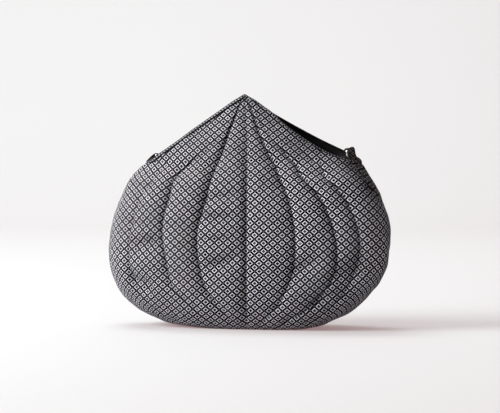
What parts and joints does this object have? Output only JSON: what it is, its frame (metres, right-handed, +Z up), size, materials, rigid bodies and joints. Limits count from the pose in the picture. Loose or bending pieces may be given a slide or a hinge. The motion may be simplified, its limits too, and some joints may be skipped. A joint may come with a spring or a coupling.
{
  "type": "handbag",
  "caption": "Padded brocade handbag shaped like a lotus bud, with sewn tucks, a black lining, a bound slanting mouth and small D-rings for a strap.",
  "frame": {"origin": "on the ground, under the centre of the bag's bounding box", "axes": "+Z up, -Y towards the front, +X to the viewer's right as seen from the front"},
  "size_m": [0.2873, 0.1253, 0.2412],
  "materials": {
    "brocade": "black and silver brocade, small nested diamonds",
    "lining": "black satin",
    "binding": "the same brocade, folded on the bias",
    "metal": "polished nickel"
  },
  "bodies": {
    "bag": {"front_panel": "brocade", "back_panel": "brocade", "lining_front": "lining", "lining_back": "lining", "binding_front": "binding", "binding_back": "binding", "tab_left": "binding", "tab_right": "binding"},
    "ring_left": {"ring_left": "metal"},
    "ring_right": {"ring_right": "metal"}
  },
  "joints": [
    {"name": "ring_left_swing", "type": "hinge", "parent": "bag", "child": "ring_left", "pos_m": [-0.09959, 0.01272, 0.17889], "axis": [0, -1, 0], "range_deg": [-10, 126]},
    {"name": "ring_right_swing", "type": "hinge", "parent": "bag", "child": "ring_right", "pos_m": [0.10118, -0.01315, 0.1834], "axis": [0, 1, 0], "range_deg": [-10, 180]}
  ]
}
